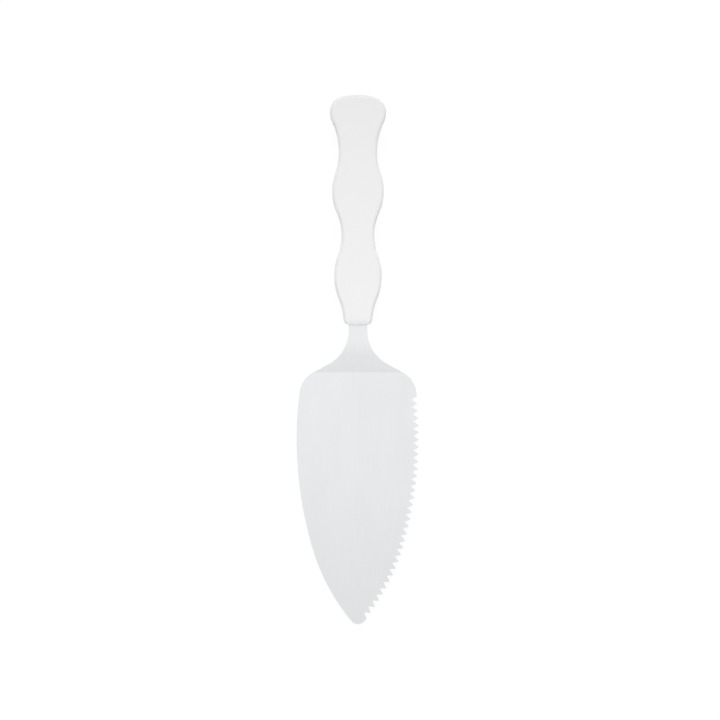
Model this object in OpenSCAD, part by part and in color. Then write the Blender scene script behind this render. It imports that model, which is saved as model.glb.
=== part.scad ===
// Cake lifter: a leaf-shaped steel blade, toothed along one edge, with a cranked neck and a tang
// that is clamped between the two moulded shells of a waved handle.
// Lengths are in millimetres. X runs across the blade with the teeth on +X, Y along the lifter
// with the handle on +Y, and Z up from the underside of the blade.

/* [Blade] */
// Length from the crease at the foot of the neck to the tip
blade_length = 124; // [118:1:135]
// Width at the widest place
blade_width = 60.4; // [56:0.2:66]
// Distance from the crease to the widest place
widest_at = 33; // [30:0.2:38]
// Plan radius of the long sides
side_radius = 188; // [170:1:220]
// Distance from the crease to where the sides begin to turn in to the tip
turn_at = 86; // [80:0.5:96]
// Plan radius of the tip
tip_radius = 4.2; // [2.5:0.1:5]
// Plan radius of the shoulders
shoulder_radius = 12.7; // [10:0.1:14]
// Distance from the crease to the centre of the shoulder curve
shoulder_at = 11.3; // [10:0.1:13]
// Thickness of the steel sheet
sheet = 1.5; // [1:0.1:2]

/* [Teeth] */
// Distance from the crease to the first notch
teeth_from = 13.4; // [13:0.1:40]
// Spacing of the notches along the edge
tooth_pitch = 3.6; // [3:0.05:6]
// How far the tips of the teeth stand back from the outline of the plain side
tooth_inset = 0.2; // [0:0.1:0.8]
// Depth of the notches below the tips, square to the edge
tooth_depth = 2.7; // [1:0.1:3]
// Flat left on the tip of each tooth
tooth_flat = 0.3; // [0.1:0.05:0.6]
// Plain edge kept between the last notch and the tip curve
plain_end = 1; // [0.5:0.1:20]

/* [Neck] */
// Length in plan from the crease to the front of the handle
neck_length = 23.3; // [21.5:0.1:30]
// Width of the neck and of the tang
neck_width = 9.2; // [8:0.1:10]
// Plan radius of the flare from the neck to the shoulders
flare_radius = 18.4; // [16:0.1:19]
// Slope of the straight flank between the flare and the shoulder, in plan
flare_angle = 61.5; // [58:0.5:64]
// Height of the neck above the blade
crank_height = 11.5; // [10:0.5:13]
// Slope of the neck's rising part
crank_angle = 45; // [40:1:55]
// Radius inside the crease
crease_radius = 1; // [0.5:0.1:2]
// Radius over the upper bend
bend_radius = 12; // [8:0.5:14]

/* [Handle] */
// Length of the handle
handle_length = 112.7; // [112:0.1:118]
// Height of the top face above the parting line
upper_height = 2.8; // [2.6:0.1:4]
// Depth of the underside below the parting line
lower_height = 6.2; // [5.5:0.1:7.5]
// Radius along the edges of the top face
edge_radius = 1.8; // [1.2:0.1:2.4]
// Radius along the edges of the underside
under_radius = 2.4; // [1.2:0.1:2.6]
// Radius at the front edges of both faces
front_edge = 0.3; // [0.2:0.05:0.6]
// Length over which the faces fall off to the front
fall_length = 3; // [2:0.1:5]
// Radius of that fall, in side view
fall_radius = 9; // [7:0.5:20]
// Wall thickness of the shells
wall = 1.8; // [1.6:0.1:2]
// Plan radius of the crown at the end
crown_radius = 31.7; // [26:0.1:50]
// Run from the end to the widest place of the pommel. This run and the five that follow it are
// stretched alike until they make up the handle's length.
pommel_run = 8.5; // [7.5:0.1:9.5]
// Width of the pommel
pommel_width = 27.7; // [26:0.1:30]
// Plan radius of the flanks of the pommel
pommel_radius = 11; // [9:0.1:14]
// Run from the pommel to the rear waist
rear_waist_run = 19.4; // [17.5:0.1:21.5]
// Width at the rear waist
rear_waist_width = 18.8; // [17.6:0.1:20]
// Run from the rear waist to the rear swell
rear_swell_run = 19.4; // [17.5:0.1:21.5]
// Width at the rear swell
rear_swell_width = 25.4; // [24:0.1:27.5]
// Run from the rear swell to the front waist
front_waist_run = 21.6; // [19.5:0.1:23.5]
// Width at the front waist
front_waist_width = 16.1; // [15.2:0.1:17.6]
// Run from the front waist to the front swell
front_swell_run = 19.9; // [18:0.1:22]
// Width at the front swell
front_swell_width = 23.3; // [21.6:0.1:25.6]
// Run from the front swell to the front
front_run = 23.9; // [21.5:0.1:26]
// Width to which the flanks run in at the front
mouth_width = 13.9; // [13.6:0.1:15.5]
// Plan radius of the front corners
corner_radius = 3; // [2.9:0.1:3.4]

/* [Joint] */
// Length of the tang inside the handle
tang_length = 92; // [75:1:98]
// Plan radius of the corners at the end of the tang
tang_corner = 3; // [1:0.1:3.5]
// Thickness of the ribs that the tang lies between
rib_thickness = 1.6; // [1.2:0.1:3]
// Diameter of the moulded pins through the tang
pin_d = 4; // [3:0.1:5]
// Depth to which the pins enter the upper bosses
pin_depth = 1.2; // [0.8:0.1:1.5]
// Wall round the pins
boss_wall = 2.4; // [1.5:0.1:3]
// Clearance all round the tang, the pins and the lip
gap = 0.1; // [0.05:0.01:0.2]
// Width of the locating lip on the parting line
lip_width = 0.6; // [0.4:0.05:0.7]
// Height of the locating lip
lip_height = 0.9; // [0.5:0.1:1.5]

/* [Hidden] */
arc_steps = 12;
run_out_steps = 4;
grip_steps = 8;
edge_steps = 6;
bend_steps = 16;
$fn = 96;

overall = blade_length + neck_length + handle_length;
crease_y = blade_length - overall / 2;
handle_y = overall / 2;
front_y = handle_y - handle_length;
parting_z = crank_height + sheet / 2;
// How far a cut runs past what it cuts
past = 1;

function along(a) = [cos(a), sin(a)];
function heading(v) = atan2(v.y, v.x);
function flip(p) = [-p.x, p.y];
function backwards(list) = [for (i = [len(list) - 1:-1:0]) list[i]];

// Points of an arc, without its last one, which begins the next stretch
function arc(centre, r, from, to, steps) =
    [for (i = [0:steps - 1]) centre + r * along(from + (to - from) * i / steps)];

// Blade outline, with the crease on Y = 0 and the tip on -Y
side_centre = [blade_width / 2 - side_radius, -widest_at];
turn = asin((turn_at - widest_at) / side_radius);
turn_point = side_centre + side_radius * along(-turn);
tip_centre = [0, tip_radius - blade_length];

// Radius of the curve that carries on from the side and meets the tip curve smoothly
to_tip = turn_point - tip_centre;
point_radius = (to_tip * to_tip - tip_radius ^ 2) / (2 * (to_tip * along(-turn) - tip_radius));
point_centre = turn_point - point_radius * along(-turn);
tip_angle = heading(tip_centre - point_centre);

shoulder_dy = widest_at - shoulder_at;
shoulder_dx = sqrt((side_radius - shoulder_radius) ^ 2 - shoulder_dy ^ 2);
shoulder_centre = side_centre + [shoulder_dx, shoulder_dy];
shoulder_angle = heading(shoulder_centre - side_centre);

// The flare and the shoulder are joined by a straight flank that touches both
flare_x = neck_width / 2 + flare_radius;
flare_reach = flare_radius + shoulder_radius - (flare_x - shoulder_centre.x) * cos(flare_angle);
flare_centre = [flare_x, shoulder_centre.y + flare_reach / sin(flare_angle)];
flare_end = 180 + flare_angle;

// Place on the toothed edge, l being its distance along the edge from the widest place
turn_l = turn * PI / 180 * side_radius;
end_l = turn_l - (tip_angle + turn) * PI / 180 * point_radius;
function edge_angle(l) =
    l < turn_l ? -l / side_radius * 180 / PI : -turn - (l - turn_l) / point_radius * 180 / PI;
function edge(l, inset = 0) =
    l < turn_l
        ? side_centre + (side_radius - inset) * along(edge_angle(l))
        : point_centre + (point_radius - inset) * along(edge_angle(l));

notch_half = (tooth_pitch - tooth_flat) / 2;
first_l = -asin((widest_at - teeth_from) / side_radius) * PI / 180 * side_radius;
notches = floor((end_l - plain_end - notch_half - first_l) / tooth_pitch) + 1;
notch_ls = [for (i = [0:notches - 1]) first_l + i * tooth_pitch];

shoulder_edge = concat(
    arc(flare_centre, flare_radius, 180, flare_end, arc_steps),
    [flare_centre + flare_radius * along(flare_end)],
    arc(shoulder_centre, shoulder_radius, flare_angle, shoulder_angle, arc_steps));
plain_side = concat(
    arc(side_centre, side_radius, shoulder_angle, -turn, 2 * arc_steps),
    arc(point_centre, point_radius, -turn, tip_angle, arc_steps));
run_out_l = notch_ls[notches - 1] + notch_half;
teeth = concat(
    [for (i = [0:notches - 2]) each [
        edge(notch_ls[i], tooth_inset + tooth_depth),
        edge(notch_ls[i] + notch_half, tooth_inset),
        edge(notch_ls[i + 1] - notch_half, tooth_inset)]],
    [edge(notch_ls[notches - 1], tooth_inset + tooth_depth)]);
toothed_side = concat(
    arc(side_centre, side_radius, shoulder_angle, edge_angle(first_l - notch_half), arc_steps),
    [edge(first_l - notch_half)],
    teeth,
    [for (i = [0:run_out_steps - 1]) edge(run_out_l + (end_l - run_out_l) * i / run_out_steps)]);
tip_edge = arc(tip_centre, tip_radius, tip_angle, -180 - tip_angle, arc_steps);

tang_y = neck_length + tang_length;
tang_centre = [neck_width / 2 - tang_corner, tang_y - tang_corner];
tang_edge = concat(
    arc(tang_centre, tang_corner, 90, 0, arc_steps),
    [[neck_width / 2, tang_centre.y]]);

blade_outline = concat(
    tang_edge, shoulder_edge, toothed_side, tip_edge,
    [flip(plain_side[len(plain_side) - 1])],
    [for (p = backwards(plain_side)) flip(p)],
    [for (p = backwards(shoulder_edge)) flip(p)],
    [for (p = backwards(tang_edge)) flip(p)]);

// Side view of the bent sheet, as [Y, Z] with the crease on Y = 0
function slope_normal(a) = [-sin(a), cos(a)];
crease_centre = [-crease_radius * tan(crank_angle / 2), sheet + crease_radius];
both_radii = crease_radius + bend_radius;
ramp = (crank_height - both_radii * (1 - cos(crank_angle))) / sin(crank_angle);
bend_centre = crease_centre - both_radii * slope_normal(crank_angle) + ramp * along(crank_angle);
slopes = [for (i = [0:bend_steps]) crank_angle * i / bend_steps];
sheet_top = concat(
    [for (a = slopes) crease_centre - crease_radius * slope_normal(a)],
    [for (a = backwards(slopes)) bend_centre + bend_radius * slope_normal(a)]);
sheet_under = concat(
    [for (a = slopes) crease_centre - (crease_radius + sheet) * slope_normal(a)],
    [for (a = backwards(slopes)) bend_centre + (bend_radius - sheet) * slope_normal(a)]);
sheet_profile = concat(
    [[-blade_length - past, 0], [-blade_length - past, sheet]], sheet_top,
    [[tang_y + past, crank_height + sheet], [tang_y + past, crank_height]], backwards(sheet_under));

// Places along the handle, from its end
rear_runs = pommel_run + rear_waist_run + rear_swell_run;
stretch = handle_length / (rear_runs + front_waist_run + front_swell_run + front_run);
pommel_at = stretch * pommel_run;
rear_waist_at = pommel_at + stretch * rear_waist_run;
rear_swell_at = rear_waist_at + stretch * rear_swell_run;
front_waist_at = rear_swell_at + stretch * front_waist_run;
front_swell_at = front_waist_at + stretch * front_swell_run;
pin_ys = [handle_y - rear_swell_at, handle_y - front_swell_at];

// Handle outline: each disc is [centre, radius, side], side 1 for a swell and -1 for a waist.
// Two neighbours touch, so one radius sets the next.
function touching(at_a, width_a, r_a, at_b, width_b) =
    ((at_b - at_a) ^ 2 + (width_b - width_a) ^ 2 / 4) / abs(width_b - width_a) - r_a;
rear_waist_radius =
    touching(pommel_at, pommel_width, pommel_radius, rear_waist_at, rear_waist_width);
rear_swell_radius =
    touching(rear_waist_at, rear_waist_width, rear_waist_radius, rear_swell_at, rear_swell_width);
front_waist_radius =
    touching(rear_swell_at, rear_swell_width, rear_swell_radius, front_waist_at, front_waist_width);
front_swell_radius =
    touching(front_waist_at, front_waist_width, front_waist_radius, front_swell_at, front_swell_width);
mouth_radius =
    touching(front_swell_at, front_swell_width, front_swell_radius, handle_length, mouth_width);
function swell(at, width, r) = [[width / 2 - r, handle_y - at], r, 1];
function waist(at, width, r) = [[width / 2 + r, handle_y - at], r, -1];

// Radius that rounds the crown off into the pommel's widest place
crown_blend =
    (pommel_width ^ 2 / 4 + pommel_at ^ 2 - 2 * crown_radius * pommel_at)
    / (pommel_width - 2 * crown_radius);
mouth_disc = waist(handle_length, mouth_width, mouth_radius);
corner_y = front_y + corner_radius;
corner_x = mouth_disc[0].x - sqrt((mouth_radius + corner_radius) ^ 2 - corner_radius ^ 2);
discs = [
    [[0, handle_y - crown_radius], crown_radius, 1],
    swell(pommel_at, pommel_width, crown_blend),
    swell(pommel_at, pommel_width, pommel_radius),
    waist(rear_waist_at, rear_waist_width, rear_waist_radius),
    swell(rear_swell_at, rear_swell_width, rear_swell_radius),
    waist(front_waist_at, front_waist_width, front_waist_radius),
    swell(front_swell_at, front_swell_width, front_swell_radius),
    mouth_disc,
    [[corner_x, corner_y], corner_radius, 1]];

// Angle on disc a at which the outline passes to or from its neighbour b
function meeting(a, b) =
    a[2] != b[2] ? heading(b[0] - a[0])
    : a[1] > b[1] ? heading(b[0] - a[0]) : heading(a[0] - b[0]);
function unwrapped(a, side) = side < 0 && a < 0 ? a + 360 : a;
last_disc = len(discs) - 1;
function arc_from(i) = i == 0 ? 90 : unwrapped(meeting(discs[i], discs[i - 1]), discs[i][2]);
function arc_to(i) = i == last_disc ? -90 : unwrapped(meeting(discs[i], discs[i + 1]), discs[i][2]);

// Closed loop at an inset, from the middle of the crown down the right side and up the left.
// The front has an inset of its own, and the front corners are drawn out to meet it.
function disc_arc(i, inset) =
    arc(discs[i][0], discs[i][1] - discs[i][2] * inset, arc_from(i), arc_to(i), grip_steps);
function grip_side(inset, front_inset) =
    let (draw = (corner_radius - front_inset) / (corner_radius - inset))
    concat(
        [for (i = [0:last_disc - 1]) each disc_arc(i, inset)],
        [for (p = disc_arc(last_disc, inset)) [p.x, corner_y + (p.y - corner_y) * draw]],
        [[corner_x, front_y + front_inset]]);
function grip_loop(inset, front_inset) =
    let (right = grip_side(inset, front_inset))
    concat(right, [for (i = [len(right) - 1:-1:1]) flip(right[i])]);

// Cross-section of a shell's wall as rings of [inset, inset at the front, height over the parting
// line], from the edge of the outer face to the edge of the inner one, with the rings of the lip or
// its groove between. The outer face lies at height h and has radius r along its edge.
function shell_rings(lip, h, r) = concat(
    [for (i = [0:edge_steps])
        let (a = 90 - 90 * i / edge_steps)
        [r * (1 - cos(a)), front_edge * (1 - cos(a)), h - r * (1 - sin(a))]],
    [[0, 0, 0]], [for (q = lip) [q.x, q.x, q.y]], [[wall, wall, 0], [wall, wall, h - wall]]);
lip_from = (wall - lip_width) / 2;
lip_rings = [
    [lip_from, 0], [lip_from, -lip_height],
    [lip_from + lip_width, -lip_height], [lip_from + lip_width, 0]];
groove_rings = [
    [lip_from - gap, 0], [lip_from - gap, lip_height + gap],
    [lip_from + lip_width + gap, lip_height + gap], [lip_from + lip_width + gap, 0]];

// How far the outer face has fallen at a place along the handle
function fall(y) =
    let (run = max(0, front_y + fall_length - y))
    fall_radius - sqrt(fall_radius ^ 2 - run ^ 2);

// Solid through a list of rings up to an outer face at height h, closed by a face at each end
module loft(rings, h) {
    side = len(grip_side(0, 0));
    n = 2 * side - 1;
    last = (len(rings) - 1) * n;
    cap = concat([[0, 1, n - 1]], [for (i = [1:side - 2]) [i, i + 1, n - i - 1, n - i]]);
    walls = [for (k = [0:len(rings) - 2]) for (i = [0:n - 1])
        let (a = k * n, j = (i + 1) % n)
        [a + i, a + n + i, a + n + j, a + j]];
    polyhedron(
        points = [for (r = rings) for (p = grip_loop(r[0], r[1])) [p.x, p.y, min(r[2], h - fall(p.y))]],
        faces = concat(cap, walls, [for (f = cap) [for (i = backwards(f)) last + i]]));
}

// Cross rib at a waist, from the tang to the height that is given
module rib(at, width, top) {
    translate([(wall - width) / 2, handle_y - at - rib_thickness / 2, sheet / 2])
        cube([width - wall, rib_thickness, top - sheet / 2]);
}

// What both shells have inside: ribs at the waists and bosses at the swells, which run from the tang
// to the middle of the outer wall
module shell_inside(h) {
    top = h - wall / 2;
    rib(rear_waist_at, rear_waist_width, top);
    rib(front_waist_at, front_waist_width, top);
    for (y = pin_ys)
        translate([0, y, sheet / 2])
            cylinder(d = pin_d + 2 * boss_wall, h = top - sheet / 2);
}

// Opening in the front wall for the tang
module tang_slot() {
    translate([-neck_width / 2 - gap, front_y - past, -sheet / 2 - gap])
        cube([neck_width + 2 * gap, wall + 2 * past, sheet + 2 * gap]);
}

module blade() {
    color("silver")
        translate([0, crease_y, 0])
            difference() {
                intersection() {
                    translate([0, 0, -past])
                        linear_extrude(crank_height + sheet + 2 * past)
                            polygon(blade_outline);
                    translate([-blade_width, 0, 0])
                        rotate([90, 0, 90])
                            linear_extrude(2 * blade_width)
                                polygon(sheet_profile);
                }
                for (y = pin_ys)
                    translate([0, y - crease_y, crank_height - past])
                        cylinder(d = pin_d + 2 * gap, h = sheet + 2 * past);
            }
}

module upper_shell() {
    color("white")
        translate([0, 0, parting_z])
            difference() {
                union() {
                    loft(shell_rings(groove_rings, upper_height, edge_radius), upper_height);
                    shell_inside(upper_height);
                }
                tang_slot();
                for (y = pin_ys)
                    translate([0, y, 0])
                        cylinder(d = pin_d + 2 * gap, h = sheet / 2 + pin_depth + gap);
            }
}

module lower_shell() {
    color("white")
        translate([0, 0, parting_z]) {
            difference() {
                mirror([0, 0, 1])
                    union() {
                        loft(shell_rings(lip_rings, lower_height, under_radius), lower_height);
                        shell_inside(lower_height);
                    }
                tang_slot();
            }
            for (y = pin_ys)
                translate([0, y, wall / 2 - lower_height])
                    cylinder(d = pin_d, h = lower_height - wall / 2 + sheet / 2 + pin_depth);
        }
}

blade();
upper_shell();
lower_shell();
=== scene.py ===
"""Cake lifter with a toothed steel blade and a white handle of two shells, seen from straight above.

Lengths are in metres. X runs across the blade with the teeth on +X, Y along the lifter with the handle
on +Y, and Z up from the surface that the blade lies on. Points of an outline are complex numbers, with X
as the real part and Y as the imaginary part, or Y and Z in the side view of the bent sheet.
"""
from cmath import phase, rect
from math import asin, ceil, cos, floor, pi, radians, sin, sqrt, tan

import bmesh
import bpy
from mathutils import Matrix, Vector


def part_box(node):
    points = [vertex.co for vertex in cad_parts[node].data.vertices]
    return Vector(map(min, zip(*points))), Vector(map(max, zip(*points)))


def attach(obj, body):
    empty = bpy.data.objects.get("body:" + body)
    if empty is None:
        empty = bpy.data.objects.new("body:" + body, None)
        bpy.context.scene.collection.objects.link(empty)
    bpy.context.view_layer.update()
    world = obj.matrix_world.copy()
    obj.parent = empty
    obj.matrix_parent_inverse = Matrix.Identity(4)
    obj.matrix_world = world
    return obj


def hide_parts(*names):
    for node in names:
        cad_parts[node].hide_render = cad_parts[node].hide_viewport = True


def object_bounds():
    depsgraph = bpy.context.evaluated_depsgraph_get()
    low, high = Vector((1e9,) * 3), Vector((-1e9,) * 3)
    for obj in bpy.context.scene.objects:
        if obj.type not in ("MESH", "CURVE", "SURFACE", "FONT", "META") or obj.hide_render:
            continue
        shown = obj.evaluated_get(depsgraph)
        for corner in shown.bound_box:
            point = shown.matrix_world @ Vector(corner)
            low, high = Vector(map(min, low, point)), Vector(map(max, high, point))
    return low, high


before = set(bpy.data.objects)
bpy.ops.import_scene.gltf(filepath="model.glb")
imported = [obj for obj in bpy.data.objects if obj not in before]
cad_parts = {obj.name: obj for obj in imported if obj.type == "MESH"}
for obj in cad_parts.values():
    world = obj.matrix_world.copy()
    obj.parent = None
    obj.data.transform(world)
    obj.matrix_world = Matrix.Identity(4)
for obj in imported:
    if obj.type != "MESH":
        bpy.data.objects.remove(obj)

cad_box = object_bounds()
blade_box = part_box("blade")
upper_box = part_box("upper_shell")
lower_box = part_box("lower_shell")
MM = 0.001

# Blade: places are distances from the crease at the foot of the neck
BLADE_LENGTH = 124 * MM
BLADE_WIDTH = 60.4 * MM
WIDEST_AT = 33 * MM
SIDE_RADIUS = 188 * MM
TURN_AT = 86 * MM
TIP_RADIUS = 4.2 * MM
SHOULDER_RADIUS = 12.7 * MM
SHOULDER_AT = 11.3 * MM
SHEET = 1.5 * MM
BLADE_EDGE = 0.12 * MM

# Teeth
TEETH_FROM = 13.4 * MM
TOOTH_PITCH = 3.6 * MM
TOOTH_INSET = 0.2 * MM
TOOTH_DEPTH = 2.7 * MM
TOOTH_FLAT = 0.3 * MM
PLAIN_END = 1 * MM

# Neck and tang
NECK_WIDTH = 9.2 * MM
FLARE_RADIUS = 18.4 * MM
FLARE_ANGLE = radians(61.5)
CRANK_ANGLE = radians(45)
CREASE_RADIUS = 1 * MM
BEND_RADIUS = 12 * MM
TANG_CORNER = 3 * MM

# Handle: places are distances from its end, and side is 1 for a swell and -1 for a waist
STATIONS = [
    # place, width, side
    (8.5 * MM, 27.7 * MM, 1),
    (27.9 * MM, 18.8 * MM, -1),
    (47.3 * MM, 25.4 * MM, 1),
    (68.9 * MM, 16.1 * MM, -1),
    (88.8 * MM, 23.3 * MM, 1),
    (112.7 * MM, 13.9 * MM, -1),
]
CROWN_RADIUS = 31.7 * MM
POMMEL_RADIUS = 11 * MM
CORNER_RADIUS = 3 * MM
EDGE_RADIUS = 1.8 * MM
UNDER_RADIUS = 2.4 * MM
FRONT_EDGE = 0.3 * MM
FALL_LENGTH = 3 * MM
FALL_RADIUS = 9 * MM
WALL = 1.8 * MM

# Joint between the shells and the tang
RIB = 1.6 * MM
PIN = 4 * MM
PIN_DEPTH = 1.2 * MM
BOSS_WALL = 2.4 * MM
GAP = 0.1 * MM
LIP_WIDTH = 0.6 * MM
LIP_HEIGHT = 0.9 * MM
SEAM = 0.15 * MM

# Places that follow from the frame
CREASE_Y = blade_box[0].y + BLADE_LENGTH
TANG_END = blade_box[1].y - CREASE_Y
CRANK_HEIGHT = blade_box[1].z - SHEET
HANDLE_END = upper_box[1].y
HANDLE_FRONT = upper_box[0].y
PARTING_Z = upper_box[0].z
UPPER_HEIGHT = upper_box[1].z - PARTING_Z
LOWER_HEIGHT = PARTING_Z - lower_box[0].z

# Places inside the handle: ribs stand at the inner waists, and bosses and pins at the inner swells
INNER_STATIONS = STATIONS[1:-1]
PIN_YS = [HANDLE_END - at for at, _, side in INNER_STATIONS if side > 0]
LIP_FROM = (WALL - LIP_WIDTH) / 2

# Fineness of the meshes, and the angle from which an edge counts as sharp
ARC_STEPS = 24
BEND_STEPS = 20
LONGEST_GRIP_STEP = 0.6 * MM
FEWEST_GRIP_STEPS = 16
EDGE_STEPS = 12
ROUND_STEPS = 48
BEVEL_STEPS = 3
SHARP_ANGLE = radians(30)

# Noise: its detail where none is given, and the range in which most of it lies
NOISE_DETAIL = 3
NOISE_LOW = 0.3
NOISE_HIGH = 0.7

# Steel: brush lines that run along Y, and clouds, at scales in grains a metre along each axis
BRUSH_SCALE = (12000, 50, 50)
BRUSH_DETAIL = 4
BRUSH_STRENGTH = 0.5
BRUSH_DEPTH = 0.02 * MM
STEEL_CLOUDS = (60, 25, 60)
STEEL_TONES = ((0.847, 0.854, 0.864, 1), (0.891, 0.898, 0.908, 1))
STEEL_ROUGHNESS = (0.48, 0.58)

# Plastic: fine pores, and clouds
PORE_SCALE = (1800, 1800, 1800)
PORE_STRENGTH = 0.4
PORE_DEPTH = 0.02 * MM
PLASTIC_CLOUDS = (50, 50, 50)
PLASTIC_TONES = ((0.851, 0.85, 0.851, 1), (0.863, 0.862, 0.863, 1))
PLASTIC_ROUGHNESS = (0.42, 0.5)
PLASTIC_IOR = 1.49

# Photograph: a square frame in which the lifter runs from END_PX down to TIP_PX along MIDDLE_PX
FRAME_PX = 720
END_PX = 94.9
TIP_PX = 624.1
MIDDLE_PX = 358
CAMERA_HEIGHT = 2.5

# Light: shares of what falls on a level surface, which add up to a plain level of 1
AMBIENT = 0.2
TOP_SHARE = 0.11
TOP_PLACE = (0, 0.02, 0.15)
TOP_SIZE = 0.14
FAR_LAMPS = [
    # name, share, direction towards the lamp
    ("left_light", 0.15, (-0.814, -0.296, 0.5)),
    ("right_light", 0.15, (0.814, -0.296, 0.5)),
    ("back_light", 0.39, (0, 0.766, 0.643)),
]
FAR_SPREAD = radians(30)
WHITE = (1, 1, 1, 1)

# Floor: what is seen of it is mostly a white glow, and the rest is matt and keeps the shadow
FLOOR_SIZE = 20
FLOOR_GAP = 0.05 * MM
FLOOR_COLOUR = (0.85, 0.85, 0.85, 1)
GLOW_SHARE = 0.88
FLOOR_GLOW = 1.05

# Card over the lifter that the steel reflects: places with their tones along Y and along X
CARD_SIZE = 1.2
CARD_HEIGHT = 0.1
CARD_GLOW = 1.13
CARD_ALONG = [
    (-0.4, 1), (-0.22, 0.885), (-0.145, 0.71), (-0.07, 0.87),
    (0.02, 0.905), (0.1, 0.905), (0.2, 0.48), (0.34, 0.26)]
CARD_ACROSS = [(-0.36, 0.3), (-0.2, 0.6), (-0.11, 1), (0.11, 1), (0.2, 0.6), (0.36, 0.3)]


# Outlines

def arc(centre, radius, start, end, steps):
    """Points of an arc, without its last one, which begins the next stretch."""
    return [centre + rect(radius, start + (end - start) * i / steps) for i in range(steps)]


def mirrored(points):
    """The same points across the middle line, in the opposite order."""
    return [complex(-p.real, p.imag) for p in reversed(points)]


def blade_outline():
    """Plan of the blade, neck and tang, with the crease on Y = 0."""
    side_centre = complex(BLADE_WIDTH / 2 - SIDE_RADIUS, -WIDEST_AT)
    turn = asin((TURN_AT - WIDEST_AT) / SIDE_RADIUS)
    turn_point = side_centre + rect(SIDE_RADIUS, -turn)

    # Curve that carries on from the side and meets the tip curve smoothly
    tip_centre = 1j * (TIP_RADIUS - BLADE_LENGTH)
    to_tip = turn_point - tip_centre
    leaning = (to_tip * rect(1, turn)).real
    point_radius = (abs(to_tip) ** 2 - TIP_RADIUS ** 2) / (2 * (leaning - TIP_RADIUS))
    point_centre = turn_point - rect(point_radius, -turn)
    tip_angle = phase(tip_centre - point_centre)

    rise = WIDEST_AT - SHOULDER_AT
    to_shoulder = complex(sqrt((SIDE_RADIUS - SHOULDER_RADIUS) ** 2 - rise ** 2), rise)
    shoulder_centre = side_centre + to_shoulder
    shoulder_angle = phase(to_shoulder)

    # The flare and the shoulder are joined by a straight flank that touches both
    flare_x = NECK_WIDTH / 2 + FLARE_RADIUS
    reach = FLARE_RADIUS + SHOULDER_RADIUS - (flare_x - shoulder_centre.real) * cos(FLARE_ANGLE)
    flare_centre = complex(flare_x, shoulder_centre.imag + reach / sin(FLARE_ANGLE))

    turn_l = turn * SIDE_RADIUS
    end_l = turn_l - (tip_angle + turn) * point_radius

    def edge(l, inset=0):
        """Place on the toothed edge, l being its distance along the edge from the widest place."""
        if l < turn_l:
            return side_centre + rect(SIDE_RADIUS - inset, -l / SIDE_RADIUS)
        return point_centre + rect(point_radius - inset, -turn - (l - turn_l) / point_radius)

    notch_half = (TOOTH_PITCH - TOOTH_FLAT) / 2
    first_l = -asin((WIDEST_AT - TEETH_FROM) / SIDE_RADIUS) * SIDE_RADIUS
    notches = floor((end_l - PLAIN_END - notch_half - first_l) / TOOTH_PITCH) + 1
    run_out_l = first_l + (notches - 1) * TOOTH_PITCH + notch_half
    teeth = [edge(first_l - notch_half)]
    for i in range(notches):
        l = first_l + i * TOOTH_PITCH
        if i > 0:
            teeth.append(edge(l - notch_half, TOOTH_INSET))
        teeth.append(edge(l, TOOTH_INSET + TOOTH_DEPTH))
        if i < notches - 1:
            teeth.append(edge(l + notch_half, TOOTH_INSET))

    tang_corner = complex(NECK_WIDTH / 2 - TANG_CORNER, TANG_END - TANG_CORNER)
    tang = arc(tang_corner, TANG_CORNER, pi / 2, 0, ARC_STEPS) + [tang_corner + TANG_CORNER]
    shoulder = (
        arc(flare_centre, FLARE_RADIUS, pi, pi + FLARE_ANGLE, ARC_STEPS)
        + [flare_centre + rect(FLARE_RADIUS, pi + FLARE_ANGLE)]
        + arc(shoulder_centre, SHOULDER_RADIUS, FLARE_ANGLE, shoulder_angle, ARC_STEPS))
    first_edge = (notch_half - first_l) / SIDE_RADIUS
    toothed_side = (
        arc(side_centre, SIDE_RADIUS, shoulder_angle, first_edge, ARC_STEPS)
        + teeth
        + [edge(run_out_l + (end_l - run_out_l) * i / ARC_STEPS) for i in range(ARC_STEPS)])
    plain_side = (
        arc(side_centre, SIDE_RADIUS, shoulder_angle, -turn, 2 * ARC_STEPS)
        + arc(point_centre, point_radius, -turn, tip_angle, ARC_STEPS))
    tip = arc(tip_centre, TIP_RADIUS, tip_angle, -pi - tip_angle, ARC_STEPS)
    tip_end = tip_centre + rect(TIP_RADIUS, -pi - tip_angle)
    return tang + shoulder + toothed_side + tip + [tip_end] + mirrored(tang + shoulder + plain_side)


# Side view of the bent sheet, with Y from the crease
CREASE_CENTRE = complex(-CREASE_RADIUS * tan(CRANK_ANGLE / 2), SHEET + CREASE_RADIUS)
BOTH_RADII = CREASE_RADIUS + BEND_RADIUS
RAMP = (CRANK_HEIGHT - BOTH_RADII * (1 - cos(CRANK_ANGLE))) / sin(CRANK_ANGLE)
BEND_CENTRE = CREASE_CENTRE - 1j * rect(BOTH_RADII, CRANK_ANGLE) + rect(RAMP, CRANK_ANGLE)
UPPER_FACE = (CREASE_RADIUS, BEND_RADIUS)
LOWER_FACE = (CREASE_RADIUS + SHEET, BEND_RADIUS - SHEET)


def sheet_height(y, face):
    """Height of the upper or lower face of the sheet."""
    crease_radius, bend_radius = face
    past_crease = y - CREASE_CENTRE.real
    short_of_bend = BEND_CENTRE.real - y
    crease_reach = crease_radius * sin(CRANK_ANGLE)
    if past_crease <= 0:
        return CREASE_CENTRE.imag - crease_radius
    if past_crease < crease_reach:
        return CREASE_CENTRE.imag - sqrt(crease_radius ** 2 - past_crease ** 2)
    if short_of_bend <= 0:
        return BEND_CENTRE.imag + bend_radius
    if short_of_bend < bend_radius * sin(CRANK_ANGLE):
        return BEND_CENTRE.imag + sqrt(bend_radius ** 2 - short_of_bend ** 2)
    foot = CREASE_CENTRE.imag - crease_radius * cos(CRANK_ANGLE)
    return foot + (past_crease - crease_reach) * tan(CRANK_ANGLE)


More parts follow.
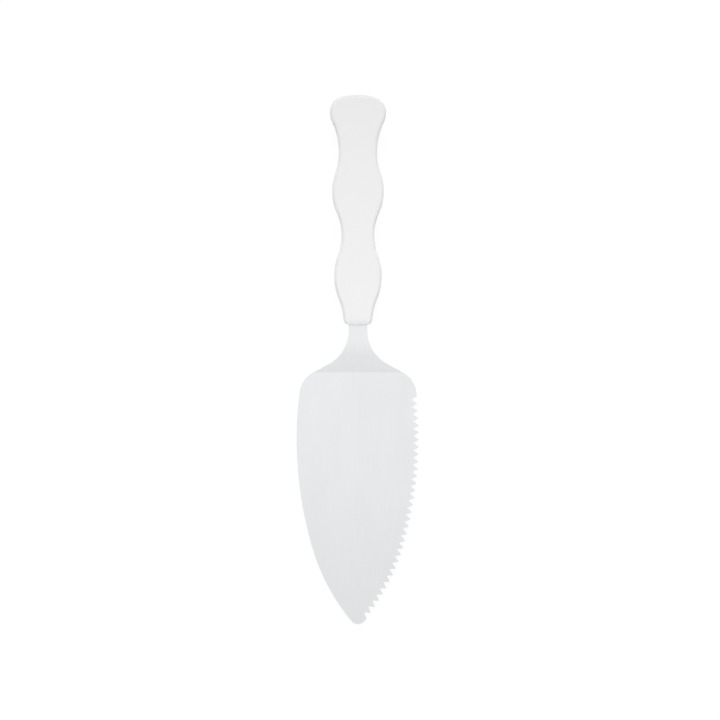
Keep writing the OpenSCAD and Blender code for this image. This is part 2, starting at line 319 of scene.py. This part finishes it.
def fold_lines():
    """Places along the sheet at which it is divided so that it bends smoothly."""
    lines = []
    for crease_radius, bend_radius in (UPPER_FACE, LOWER_FACE):
        for i in range(BEND_STEPS + 1):
            reach = sin(CRANK_ANGLE * i / BEND_STEPS)
            lines += [CREASE_CENTRE.real + crease_radius * reach, BEND_CENTRE.real - bend_radius * reach]
    return sorted(set(lines))


def grip_discs():
    """Discs (centre, radius, side) that the handle's outline runs round.

    Two neighbours touch, so one radius sets the next.
    """
    discs = []
    radius = POMMEL_RADIUS
    last = None
    for at, width, side in STATIONS:
        if last:
            step = abs(width - last[1])
            radius = ((at - last[0]) ** 2 + step ** 2 / 4) / step - radius
        discs.append((complex(width / 2 - side * radius, HANDLE_END - at), radius, side))
        last = (at, width)

    # The crown, and the blend that rounds it off into the pommel's widest place
    at, width, _ = STATIONS[0]
    blend = (width ** 2 / 4 + at ** 2 - 2 * CROWN_RADIUS * at) / (width - 2 * CROWN_RADIUS)
    crown = (1j * (HANDLE_END - CROWN_RADIUS), CROWN_RADIUS, 1)
    crown_blend = (complex(width / 2 - blend, HANDLE_END - at), blend, 1)

    mouth_centre, mouth_radius, _ = discs[-1]
    corner_x = mouth_centre.real - sqrt((mouth_radius + CORNER_RADIUS) ** 2 - CORNER_RADIUS ** 2)
    corner = (complex(corner_x, HANDLE_FRONT + CORNER_RADIUS), CORNER_RADIUS, 1)
    return [crown, crown_blend] + discs + [corner]


GRIP_DISCS = grip_discs()


def meeting(a, b):
    """Angle on disc a at which the outline passes to or from its neighbour b."""
    outward = a[2] != b[2] or a[1] > b[1]
    angle = phase(b[0] - a[0]) if outward else phase(a[0] - b[0])
    return angle + 2 * pi if a[2] < 0 and angle < 0 else angle


def grip_loop(inset, front_inset):
    """Closed outline of the handle at an inset, from the crown down the right side and up the left.

    The front has an inset of its own, and the front corners are stretched to meet it.
    """
    right = []
    last = len(GRIP_DISCS) - 1
    for i, disc in enumerate(GRIP_DISCS):
        centre, radius, side = disc
        start = pi / 2 if i == 0 else meeting(disc, GRIP_DISCS[i - 1])
        end = -pi / 2 if i == last else meeting(disc, GRIP_DISCS[i + 1])
        steps = max(FEWEST_GRIP_STEPS, ceil(abs(end - start) * radius / LONGEST_GRIP_STEP))
        points = arc(centre, radius - side * inset, start, end, steps)
        if i == last:
            stretch = (CORNER_RADIUS - front_inset) / (CORNER_RADIUS - inset)
            points = [complex(p.real, centre.imag + (p.imag - centre.imag) * stretch) for p in points]
        right += points
    right.append(complex(GRIP_DISCS[last][0].real, HANDLE_FRONT + front_inset))
    return right + mirrored(right[1:])


# Meshes

def new_piece(name, bm):
    """Object made of a bmesh, with smooth shading."""
    bmesh.ops.recalc_face_normals(bm, faces=bm.faces)
    mesh = bpy.data.meshes.new(name)
    bm.to_mesh(mesh)
    bm.free()
    mesh.shade_smooth()
    piece = bpy.data.objects.new(name, mesh)
    bpy.context.scene.collection.objects.link(piece)
    return piece


def boolean(piece, operation, tool):
    """Joins a tool to a piece or cuts it out, and removes the tool."""
    modifier = piece.modifiers.new("Boolean", "BOOLEAN")
    modifier.operation = operation
    modifier.solver = "EXACT"
    modifier.object = tool
    with bpy.context.temp_override(object=piece):
        bpy.ops.object.modifier_apply(modifier=modifier.name)
    bpy.data.objects.remove(tool)


def block(low, high):
    """Tool in the form of a block between two corners."""
    bm = bmesh.new()
    bmesh.ops.create_cube(bm, size=1)
    middle, size = (low + high) / 2, high - low
    for vert in bm.verts:
        vert.co = middle + vert.co * size
    return new_piece("tool", bm)


def rod(y, diameter, low, high):
    """Tool in the form of an upright rod on the middle line."""
    bm = bmesh.new()
    ring = [Vector((p.real, y + p.imag, low)) for p in arc(0, diameter / 2, 0, 2 * pi, ROUND_STEPS)]
    base = bm.faces.new([bm.verts.new(p) for p in ring])
    grown = bmesh.ops.extrude_face_region(bm, geom=[base], use_keep_orig=True)["geom"]
    for item in grown:
        if isinstance(item, bmesh.types.BMVert):
            item.co.z = high
    return new_piece("tool", bm)


def soften(piece, width):
    """Rounds the sharp edges a little."""
    bevel = piece.modifiers.new("Edges", "BEVEL")
    bevel.width = width
    bevel.segments = BEVEL_STEPS
    bevel.limit_method = "ANGLE"
    bevel.angle_limit = SHARP_ANGLE


def keep_flats(piece):
    """Keeps flats flat in the shading, and edges sharp that are marked so."""
    weighted = piece.modifiers.new("Flats", "WEIGHTED_NORMAL")
    weighted.mode = "FACE_AREA"
    weighted.keep_sharp = True


def make_blade():
    """Serrated leaf, cranked neck and tang with its two holes, bent from one sheet."""
    bm = bmesh.new()
    bm.faces.new([bm.verts.new((p.real, p.imag, 0)) for p in blade_outline()])
    for y in fold_lines():
        whole = bm.verts[:] + bm.edges[:] + bm.faces[:]
        bmesh.ops.bisect_plane(bm, geom=whole, plane_co=(0, y, 0), plane_no=(0, 1, 0))
    lower = bm.verts[:]
    grown = bmesh.ops.extrude_face_region(bm, geom=bm.faces[:], use_keep_orig=True)["geom"]
    upper = [item for item in grown if isinstance(item, bmesh.types.BMVert)]
    for verts, face in ((lower, LOWER_FACE), (upper, UPPER_FACE)):
        for vert in verts:
            vert.co.z = sheet_height(vert.co.y, face)
            vert.co.y += CREASE_Y
    blade = new_piece("steel_blade", bm)
    for y in PIN_YS:
        hole = rod(y, PIN + 2 * GAP, CRANK_HEIGHT - SHEET, CRANK_HEIGHT + 2 * SHEET)
        boolean(blade, "DIFFERENCE", hole)
    soften(blade, BLADE_EDGE)
    keep_flats(blade)
    return blade


def shell_rings(lip, top, radius):
    """Section of a shell whose edge has a radius, from its outer face to its inner one.

    Each ring is (inset, inset at the front, height over the parting line).
    """
    rings = []
    for i in range(EDGE_STEPS + 1):
        a = pi / 2 * (1 - i / EDGE_STEPS)
        rings.append((radius * (1 - cos(a)), FRONT_EDGE * (1 - cos(a)), top - radius * (1 - sin(a))))
    inner = [(0, SEAM), (SEAM, 0)] + lip + [(WALL, 0), (WALL, top - WALL)]
    return rings + [(inset, inset, height) for inset, height in inner]


def fall(y):
    """How far the outer face has fallen at a place along the handle."""
    run = max(0, HANDLE_FRONT + FALL_LENGTH - y)
    return FALL_RADIUS - sqrt(FALL_RADIUS ** 2 - run ** 2)


def loft(name, rings, up, top):
    """Closed mesh through rings, with the last and first capped by strips across the handle."""
    bm = bmesh.new()
    loops = []
    for inset, front_inset, height in rings:
        loop = []
        for p in grip_loop(inset, front_inset):
            z = PARTING_Z + up * min(height, top - fall(p.imag))
            loop.append(bm.verts.new((p.real, p.imag, z)))
        loops.append(loop)
    count = len(loops[0])
    for a, b in zip(loops, loops[1:]):
        for i in range(count):
            j = (i + 1) % count
            bm.faces.new((a[i], b[i], b[j], a[j]))
    for loop in (loops[0], loops[-1]):
        bm.faces.new((loop[0], loop[1], loop[-1]))
        for i in range(1, count // 2):
            bm.faces.new((loop[i], loop[i + 1], loop[-i - 1], loop[-i]))
    return new_piece(name, bm)


def make_shell(name, up):
    """Hollow half of the handle.

    up is 1 for the shallow upper half with sockets, and -1 for the deeper lower half with pins.
    """
    if up > 0:
        top, radius = UPPER_HEIGHT, EDGE_RADIUS
        outer, inner, depth = LIP_FROM - GAP, LIP_FROM + LIP_WIDTH + GAP, LIP_HEIGHT + GAP
    else:
        top, radius = LOWER_HEIGHT, UNDER_RADIUS
        outer, inner, depth = LIP_FROM, LIP_FROM + LIP_WIDTH, -LIP_HEIGHT
    lip = [(outer, 0), (outer, depth), (inner, depth), (inner, 0)]
    shell = loft(name, shell_rings(lip, top, radius), up, top)

    def level(height):
        """Z of a height over the parting line, or of a depth under it in the lower half."""
        return PARTING_Z + up * height

    # Ribs and bosses that clamp the tang, from its face into the outer wall
    near, far = SHEET / 2, top - WALL / 2
    for at, width, side in INNER_STATIONS:
        y = HANDLE_END - at
        if side < 0:
            corner = Vector(((width - WALL) / 2, y + RIB / 2, level(far)))
            boolean(shell, "UNION", block(Vector((-corner.x, y - RIB / 2, level(near))), corner))
        else:
            boolean(shell, "UNION", rod(y, PIN + 2 * BOSS_WALL, level(near), level(far)))

    # Sockets in the upper half, and pins on the lower one that pass through the tang into them
    reach = SHEET / 2 + PIN_DEPTH
    for y in PIN_YS:
        if up > 0:
            boolean(shell, "DIFFERENCE", rod(y, PIN + 2 * GAP, level(0), level(reach + GAP)))
        else:
            boolean(shell, "UNION", rod(y, PIN, level(far), level(-reach)))

    # Slot in the front wall for the neck
    slot_x, slot_z = NECK_WIDTH / 2 + GAP, SHEET / 2 + GAP
    boolean(shell, "DIFFERENCE", block(
        Vector((-slot_x, HANDLE_FRONT - WALL, PARTING_Z - slot_z)),
        Vector((slot_x, HANDLE_FRONT + 2 * WALL, PARTING_Z + slot_z))))

    shell.data.set_sharp_from_angle(angle=SHARP_ANGLE)
    keep_flats(shell)
    return shell


# Materials

# Colour sockets of a mix node, by number because its other sockets have the same names
MIX_A = 6
MIX_B = 7
MIX_RESULT = 2


def add(tree, kind, inputs=None, **settings):
    """New node with its settings, and with inputs given as values or as sockets to link."""
    node = tree.nodes.new(kind)
    for name, value in settings.items():
        setattr(node, name, value)
    for name, value in (inputs or {}).items():
        if isinstance(value, bpy.types.NodeSocket):
            tree.links.new(value, node.inputs[name])
        else:
            node.inputs[name].default_value = value
    return node


def new_material(name):
    """Material with an empty tree."""
    material = bpy.data.materials.new(name)
    material.use_nodes = True
    material.node_tree.nodes.clear()
    return material, material.node_tree


def output(tree, shader):
    """Makes a shader the surface of the material."""
    add(tree, "ShaderNodeOutputMaterial", {"Surface": shader.outputs[0]})


def grain(tree, scale, detail=NOISE_DETAIL):
    """Noise that is stretched by its scale along each axis, in grains a metre."""
    place = add(tree, "ShaderNodeTexCoord").outputs["Object"]
    mapping = add(tree, "ShaderNodeMapping", {"Vector": place, "Scale": scale})
    inputs = {"Vector": mapping.outputs[0], "Scale": 1, "Detail": detail}
    return add(tree, "ShaderNodeTexNoise", inputs).outputs["Fac"]


def spread(tree, noise, limits):
    """Noise spread over the range between two limits, and held within it."""
    low, high = limits
    inputs = {
        "Value": noise, "From Min": NOISE_LOW, "From Max": NOISE_HIGH, "To Min": low, "To Max": high}
    return add(tree, "ShaderNodeMapRange", inputs).outputs[0]


def tint(tree, share, tones):
    """Colour between two tones."""
    first, second = tones
    inputs = {"Factor": share, MIX_A: first, MIX_B: second}
    return add(tree, "ShaderNodeMix", inputs, data_type="RGBA").outputs[MIX_RESULT]


def bump(tree, height, strength, depth):
    """Normal of a surface that is roughened by a noise."""
    inputs = {"Strength": strength, "Distance": depth, "Height": height}
    return add(tree, "ShaderNodeBump", inputs).outputs[0]


def steel():
    """Satin stainless steel, brushed along the blade."""
    material, tree = new_material("brushed_steel")
    lines = grain(tree, BRUSH_SCALE, BRUSH_DETAIL)
    clouds = grain(tree, STEEL_CLOUDS)
    shader = add(tree, "ShaderNodeBsdfPrincipled", {
        "Base Color": tint(tree, spread(tree, lines, (0, 1)), STEEL_TONES),
        "Metallic": 1,
        "Roughness": spread(tree, clouds, STEEL_ROUGHNESS),
        "Normal": bump(tree, lines, BRUSH_STRENGTH, BRUSH_DEPTH),
    })
    output(tree, shader)
    return material


def plastic():
    """White moulded plastic with a fine satin grain."""
    material, tree = new_material("white_plastic")
    pores = grain(tree, PORE_SCALE)
    clouds = grain(tree, PLASTIC_CLOUDS)
    shader = add(tree, "ShaderNodeBsdfPrincipled", {
        "Base Color": tint(tree, clouds, PLASTIC_TONES),
        "Roughness": spread(tree, clouds, PLASTIC_ROUGHNESS),
        "IOR": PLASTIC_IOR,
        "Normal": bump(tree, pores, PORE_STRENGTH, PORE_DEPTH),
    })
    output(tree, shader)
    return material


def seen_directly(tree):
    """1 where the camera, a reflection or a refraction looks, and 0 for the light that falls on things."""
    path = add(tree, "ShaderNodeLightPath").outputs
    seen = path["Is Camera Ray"]
    for name in ("Is Glossy Ray", "Is Transmission Ray"):
        seen = add(tree, "ShaderNodeMath", {0: seen, 1: path[name]}, operation="MAXIMUM").outputs[0]
    return seen


# Stage

def make_floor():
    """White floor that keeps a faint shadow."""
    bm = bmesh.new()
    bmesh.ops.create_grid(bm, x_segments=1, y_segments=1, size=FLOOR_SIZE / 2)
    floor_piece = new_piece("floor", bm)
    floor_piece.location.z = -FLOOR_GAP
    material, tree = new_material("floor_white")
    share = add(tree, "ShaderNodeMath", {0: seen_directly(tree), 1: GLOW_SHARE}, operation="MULTIPLY")
    matt = add(tree, "ShaderNodeBsdfDiffuse", {"Color": FLOOR_COLOUR})
    glow = add(tree, "ShaderNodeEmission", {"Strength": FLOOR_GLOW})
    mix = add(tree, "ShaderNodeMixShader", {0: share.outputs[0], 1: matt.outputs[0], 2: glow.outputs[0]})
    output(tree, mix)
    floor_piece.data.materials.append(material)


def card_tone(tree, place, tones):
    """Tone that runs over the card from one place to the next."""
    inputs = {"Value": place, "From Min": -CARD_SIZE / 2, "From Max": CARD_SIZE / 2}
    share = add(tree, "ShaderNodeMapRange", inputs).outputs[0]
    ramp = add(tree, "ShaderNodeValToRGB", {"Fac": share})
    stops = ramp.color_ramp.elements
    stops.remove(stops[0])
    for i, (at, tone) in enumerate(tones):
        position = (at + CARD_SIZE / 2) / CARD_SIZE
        stop = stops.new(position) if i else stops[0]
        stop.position = position
        stop.color = (tone, tone, tone, 1)
    return ramp.outputs["Color"]


def make_card():
    """Glowing card over the lifter that only reflections show."""
    bm = bmesh.new()
    bmesh.ops.create_grid(bm, x_segments=1, y_segments=1, size=CARD_SIZE / 2)
    card = new_piece("reflector_card", bm)
    card.location.z = CARD_HEIGHT
    card.visible_camera = False
    card.visible_diffuse = False
    card.visible_shadow = False
    material, tree = new_material("card_light")
    place = add(tree, "ShaderNodeTexCoord").outputs["Object"]
    axes = add(tree, "ShaderNodeSeparateXYZ", {0: place}).outputs
    along = card_tone(tree, axes["Y"], CARD_ALONG)
    across = card_tone(tree, axes["X"], CARD_ACROSS)
    share = add(tree, "ShaderNodeMath", {0: along, 1: across}, operation="MULTIPLY").outputs[0]
    tone = add(tree, "ShaderNodeMath", {0: share, 1: CARD_GLOW}, operation="MULTIPLY").outputs[0]
    output(tree, add(tree, "ShaderNodeEmission", {"Strength": tone}))
    card.data.materials.append(material)


def make_world():
    """Even soft light all round, seen as white."""
    world = bpy.data.worlds.new("studio")
    world.use_nodes = True
    tree = world.node_tree
    tree.nodes.clear()
    inputs = {"Value": seen_directly(tree), "To Min": AMBIENT, "To Max": 1}
    strength = add(tree, "ShaderNodeMapRange", inputs).outputs[0]
    background = add(tree, "ShaderNodeBackground", {"Color": WHITE, "Strength": strength})
    add(tree, "ShaderNodeOutputWorld", {"Surface": background.outputs[0]})
    bpy.context.scene.world = world


def add_lamp(data, place):
    """Lamp that looks from a place to the middle, and that no reflection shows."""
    lamp = bpy.data.objects.new(data.name, data)
    lamp.location = place
    lamp.rotation_euler = place.to_track_quat("Z", "Y").to_euler()
    lamp.visible_camera = False
    lamp.visible_glossy = False
    bpy.context.scene.collection.objects.link(lamp)


def make_lamps():
    """A near lamp above, and far ones on each side and behind, each with its share of the light.

    A level surface in even light of strength 1 receives pi, and each lamp sends its share of that.
    """
    top = bpy.data.lights.new("top_light", "AREA")
    top.size = TOP_SIZE
    place = Vector(TOP_PLACE)
    top.energy = TOP_SHARE * pi ** 2 * place.z ** 2
    add_lamp(top, place)
    for name, share, direction in FAR_LAMPS:
        towards = Vector(direction).normalized()
        data = bpy.data.lights.new(name, "SUN")
        data.angle = FAR_SPREAD
        data.energy = share * pi / towards.z
        add_lamp(data, towards)


def make_camera():
    """Camera straight above, at the scale and place that put the lifter's ends on their pixels."""
    half = FRAME_PX / 2
    end_reach = (half - END_PX) * (CAMERA_HEIGHT - PARTING_Z)
    tip_reach = (TIP_PX - half) * (CAMERA_HEIGHT - SHEET / 2)
    focal_px = (end_reach + tip_reach) / (cad_box[1].y - cad_box[0].y)
    data = bpy.data.cameras.new("camera")
    data.lens = focal_px * data.sensor_width / FRAME_PX
    camera = bpy.data.objects.new("camera", data)
    x = (half - MIDDLE_PX) * CAMERA_HEIGHT / focal_px
    camera.location = (x, cad_box[1].y - end_reach / focal_px, CAMERA_HEIGHT)
    bpy.context.scene.collection.objects.link(camera)
    bpy.context.scene.camera = camera


def dress(piece, node, material):
    """The piece stands for a node of the frame and takes a material."""
    piece.data.materials.clear()
    piece.data.materials.append(material)
    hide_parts(node)
    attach(piece, "root")


bpy.context.scene.view_settings.view_transform = "Standard"
white_plastic = plastic()
dress(make_blade(), "blade", steel())
dress(make_shell("upper_handle_shell", 1), "upper_shell", white_plastic)
dress(make_shell("lower_handle_shell", -1), "lower_shell", white_plastic)
make_floor()
make_card()
make_world()
make_lamps()
make_camera()
